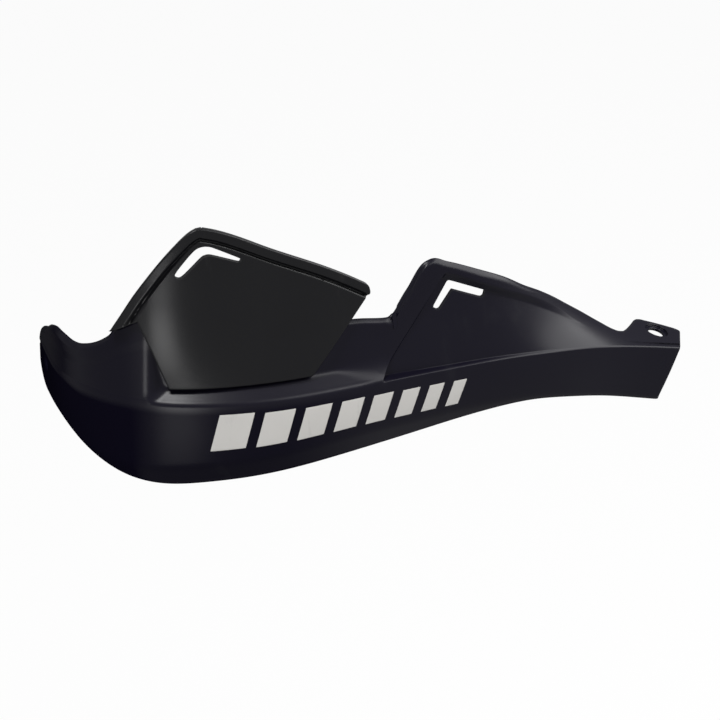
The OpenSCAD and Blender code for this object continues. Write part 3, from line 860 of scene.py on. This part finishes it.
panel = {
    "thickness": 3.0,
    "gap": 0.8,
    "lip": 0.8,
    # edges as u and w, with a point for each row: the left of the face, the border beside it from the first
    # row up, the top, and the right, which is straight as far as the bend row
    "faceLeft": [[5.17, 7], [4.98, 18], [4.79, 29], [4.5, 43], [4.62, 51.5], [4.87, 60.5], [5.1, 67.5],
                 [5.32, 73.5], [5.62, 79.5], [6, 84.3], [5.99, 87], [5.98, 91.7], [5.97, 92.6]],
    "borderLeft": [[3.83, 35.5], [4.12, 46], [4.42, 57.2], [4.7, 66.3], [5, 75.2], [5.28, 82.2],
                   [5.52, 87.5], [5.64, 89.7], [5.73, 91], [5.84, 92.2]],
    "topLine": [[5.95, 92.6], [6.27, 90.8], [7.68, 77.8], [8.79, 66.7], [9.51, 58.1], [9.92, 52.5]],
    "right": [[8.53, 8.2], [10, 46], [10.02, 47.5], [10, 50], [9.92, 52.5]],
    "firstRow": 3,
    "bendRow": 9,
    "lastRow": 12,
    # how far each row lies under the top line, and where the rows start to follow it
    "fall": [[0, 40], [9, 8.3], [10, 6.9], [11, 1.2], [12, 0]],
    "follow": (5, 4),
    "rightSlope": 13.7,
    "rightEnd": 10.3,
    "grid": {"lowRows": 70, "topRows": 28, "face": 130, "border": 22},
    "borderLift": 1.2,
    "borderWidth": 5.6,
    "borderRound": (0.2, 1.6),
    "grooveDepth": 1.0,
    "grooveRound": (0.3, 1.5),
    "boss": 3.5,
    "pilot": 1.75,
    # the vent's outline in x and z
    "vent": [(53.1, 76.6), (57.5, 82.2), (62.0, 87.0), (64.6, 88.8), (67.5, 89.4), (70.4, 89.0),
             (72.9, 88.0), (79.5, 84.6), (85.5, 81.4), (86.4, 80.4), (86.2, 79.3), (85.0, 79.1),
             (78.2, 81.6), (71.4, 84.0), (68.5, 84.0), (66.3, 82.9), (61.6, 78.6), (57.2, 74.6),
             (55.2, 73.6), (53.3, 74.5)],
    "ventCut": (-100, -60),
}


def panelLines(v):  # the left edge of the face, the edge of the border and the right edge, at the rows v
    p = panel
    first, bend = p["firstRow"], p["bendRow"]
    row = np.arange(p["lastRow"] + 1)
    left, side, right = (np.array(p[k], float) for k in ("faceLeft", "borderLeft", "right"))
    face, rim, end = [], [], []
    for k in (0, 1):
        upper = curve(np.stack([row[first:], left[first:, k]], 1), v)
        face.append(np.where(v < first, np.interp(v, row[:first + 1], left[:first + 1, k]), upper))
        rim.append(curve(np.stack([row[first:], side[:, k]], 1), v))
        upper = curve(np.stack([row[bend:], right[1:, k]], 1), v)
        end.append(np.where(v < bend, np.interp(v, [0, bend], right[:2, k]), upper))
    return [np.stack(line, 1) for line in (face, rim, end)]


def makePanel():
    p = panel
    bend, last, grid = p["bendRow"], p["lastRow"], p["grid"]
    v = np.concatenate([np.linspace(0, bend, grid["lowRows"])[:-1], np.linspace(bend, last, grid["topRows"])])
    first = np.searchsorted(v, p["firstRow"])
    v[first] = p["firstRow"]
    f = np.linspace(0, 1, grid["face"])[:, None]
    faceLine, sideLine, rightLine = panelLines(v)
    straight = faceLine[None] * (1 - f[..., None]) + rightLine[None] * f[..., None]
    fall = np.interp(v, *np.transpose(p["fall"]))
    under = curve(p["topLine"], straight[..., 0]) - fall
    leftMiss = faceLine[:, 1] - (curve(p["topLine"], faceLine[:, 0]) - fall)
    rightMiss = rightLine[:, 1] - (curve(p["topLine"], rightLine[:, 0]) - fall)
    under = under + (1 - f) * leftMiss + f * rightMiss
    b = rise(v, *p["follow"])
    face = np.stack([straight[..., 0], straight[..., 1] * (1 - b) + under * b], -1)
    t = np.linspace(0, 1, grid["border"])[:-1, None, None]
    rim = sideLine[None] * (1 - t) + faceLine[None] * t
    uw = np.concatenate([rim, face], 0)
    kept = np.ones((uw.shape[0] - 1, uw.shape[1] - 1), bool)
    kept[:len(rim), :first] = False
    scale = np.array([chart["pitch"], 1])
    flat = drawIn(uw.reshape(-1, 2) * scale, kept, p["lip"])

    # distance to the outer edge of the border, in millimetres on the skin
    side = panelLines(np.linspace(p["firstRow"], last, 90))[1]
    topStart, topEnd = p["topLine"][0][0], p["topLine"][-1][0]
    tops = np.linspace(topStart, p["rightEnd"], 120)
    above = curve(p["topLine"], np.minimum(tops, topEnd)) - np.maximum(0, tops - topEnd) * p["rightSlope"]
    outline = np.concatenate([side, np.stack([tops, above], 1)]) * scale
    away = np.full(len(flat), 1e9)
    for a, c in zip(outline[:-1], outline[1:]):
        e = c - a
        k = np.clip(((flat - a) @ e) / (e @ e), 0, 1)
        away = np.minimum(away, np.linalg.norm(flat - a - k[:, None] * e, axis=1))
    away = away.reshape(uw.shape[:2])
    width = p["borderWidth"]
    more, soft = p["borderRound"]
    lift = p["borderLift"] * ease((width + more - away) / soft)
    more, soft = p["grooveRound"]
    groove = p["grooveDepth"] * ease(1 - np.abs(away - width - more) / soft)
    u, w = (flat / scale).reshape(uw.shape).transpose(2, 0, 1)
    deep = seatDepth(u, w) - p["gap"]
    front = skinPoint(u, w, deep - p["thickness"] + groove - lift)
    points, faces = closeSkin(front, skinPoint(u, w, deep), kept, p["lip"])
    return linkMesh("ventPanel", points, faces)


def finishPanel(piece):  # the screw bosses behind it and the vent
    p, s = panel, shell
    start, end = -p["gap"] - 1, s["wall"] + s["pad"][1] - 0.3
    boss, pilot = p["boss"], p["pilot"]
    bossLine = [(0, start), (boss, start), (boss, end - 0.3), (boss - 0.3, end), (0, end)]
    pilotLine = [(0, -2.4), (pilot, -2.4), (pilot, 8), (0, 8)]
    bosses, holes = [], [prism(smoothLoop(p["vent"]), *p["ventCut"])]
    for u, w in s["screwSpots"]:
        spot, axis = seatFrame(u, w)
        bosses.append(sweepRound(bossLine, 48, axis, spot))
        holes.append(sweepRound(pilotLine, 32, axis, spot))
    combine(piece, joined("bosses", bosses), "UNION")
    combine(piece, joined("holes", holes), "DIFFERENCE")


ventPanel = makePanel()
finishPanel(ventPanel)
dress(ventPanel, panelPlastic, "vent_panel")


# The panel's screws: pan heads with a cross recess

screws = {
    "head": [(5.0, 0.0), (5.0, 0.75), (4.85, 1.25), (4.4, 1.7), (3.5, 2.05), (2.2, 2.18)],
    "height": 2.2,
    "shank": 1.7,
    "root": 1.3,
    "length": 6.0,
    "thread": 1.3,
    "crossWidth": 0.95,
    "crossReach": 2.2,
    "crossDepth": 1.5,
}


def makeScrews():
    c = screws
    base = shell["wall"] + shell["pad"][1]
    thread = [(0, -c["length"]), (c["root"] * 0.8, -c["length"])]
    z = -c["length"] + 0.5
    while z + c["thread"] < 0:
        thread += [(c["root"], z), (c["shank"], z + 0.45), (c["shank"], z + 0.55), (c["root"], z + 1.0)]
        z += c["thread"]
    line = thread + [(c["shank"], -0.1), (c["shank"], 0)] + c["head"] + [(0, c["height"])]
    solids, crosses = [], []
    r, a = c["crossReach"], c["crossWidth"] / 2
    cross = np.array([(r, -a), (r, a), (a, a), (a, r), (-a, r), (-a, a),
                      (-r, a), (-r, -a), (-a, -a), (-a, -r), (a, -r), (a, -a)])
    for u, w in shell["screwSpots"]:
        spot, axis = seatFrame(u, w)
        solids.append(sweepRound([(q, h + base) for q, h in line], 56, axis, spot))
        side, up = across(axis)
        ends = [(1.15, c["height"] + 1 + base), (0.5, c["height"] - c["crossDepth"] + base)]
        rings = [spot + (cross[:, :1] * side + cross[:, 1:] * up) * scale + axis * h for scale, h in ends]
        crosses.append((np.concatenate(rings), prismFaces(len(cross))))
    piece = joined("panelScrews", solids)
    combine(piece, joined("crosses", crosses), "DIFFERENCE")
    return piece


dress(makeScrews(), blackenedSteel, "panel_screws")


# Floor, light and camera

studio = {
    "target": (155.988, -45.265, 2.703),
    "distance": 1857.6,
    "azimuth": -15.0,
    "elevation": 25.0,
    "lens": 180.0,
    "floorHeight": -340,
    "floorReach": 6000,
    "floorColour": (0.45, 0.45, 0.45, 1),
    "floorWhite": 0.95,
    "skyColour": (0.1, 0.1, 0.102, 1),
    # each lamp's azimuth, elevation, distance in metres, width, height and brightness, aimed at one point
    "lamps": {
        "rightBox": (84, 31, 1.3, 1.3, 0.8, 7.5),
        "upperBox": (44, 46, 1.3, 0.75, 0.36, 7),
        "tubBox": (-49, 67, 1.3, 0.34, 0.28, 52),
        "lowStrip": (-28, -21, 0.6, 0.26, 0.28, 9),
    },
    "lampAim": (60, -70, 20),
}


def direction(azimuth, elevation):
    a, e = math.radians(azimuth), math.radians(elevation)
    return Vector((math.sin(a) * math.cos(e), -math.cos(a) * math.cos(e), math.sin(e)))


def softBox(name, azimuth, elevation, distance, width, height, brightness):
    data = bpy.data.lights.new(name, "AREA")
    data.shape = "RECTANGLE"
    data.size, data.size_y = width, height
    data.energy = brightness * 4 * width * height
    lamp = linkNew(name, data)
    way = direction(azimuth, elevation)
    lamp.location = Vector(studio["lampAim"]) * mm + way * distance
    lamp.rotation_euler = way.to_track_quat("Z", "Y").to_euler()


def backgroundRays(f):  # 1 where the background itself is seen, also in a reflection or through glass
    rays = [f.add("ShaderNodeLightPath", out=name)
            for name in ("Is Camera Ray", "Is Glossy Ray", "Is Transmission Ray")]
    return rays[0] + rays[1] + rays[2]


def makeStudio():
    c = studio
    z, r = c["floorHeight"], c["floorReach"]
    floor = linkMesh("floor", [(-r, -r, z), (r, -r, z), (r, r, z), (-r, r, z)], [(0, 1, 2, 3)])
    white = Finish(bpy.data.materials.new("floorWhite"))
    plain = white.add("ShaderNodeBsdfDiffuse", {}, {"Color": c["floorColour"]})
    glow = white.add("ShaderNodeEmission", {}, {"Color": (1, 1, 1, 1), "Strength": 1.0})
    seen = backgroundRays(white) * c["floorWhite"]
    floor.data.materials.append(white.end(white.mixShaders(seen, plain, glow)))
    world = bpy.data.worlds.new("world")
    bpy.context.scene.world = world
    sky = Finish(world)
    soft = sky.add("ShaderNodeBackground", {}, {"Color": c["skyColour"], "Strength": 1.0})
    bright = sky.add("ShaderNodeBackground", {}, {"Color": (1, 1, 1, 1), "Strength": 1.0})
    sky.end(sky.mixShaders(backgroundRays(sky), soft, bright), "ShaderNodeOutputWorld")
    for name, lamp in c["lamps"].items():
        softBox(name, *lamp)
    data = bpy.data.cameras.new("camera")
    data.lens = c["lens"]
    data.sensor_width = 36
    data.clip_start, data.clip_end = 0.05, 50
    camera = linkNew("camera", data)
    way = direction(c["azimuth"], c["elevation"])
    camera.location = (Vector(c["target"]) + way * c["distance"]) * mm
    camera.rotation_euler = way.to_track_quat("Z", "Y").to_euler()
    bpy.context.scene.camera = camera
    bpy.context.scene.view_settings.view_transform = "Standard"


makeStudio()
print("studio made")
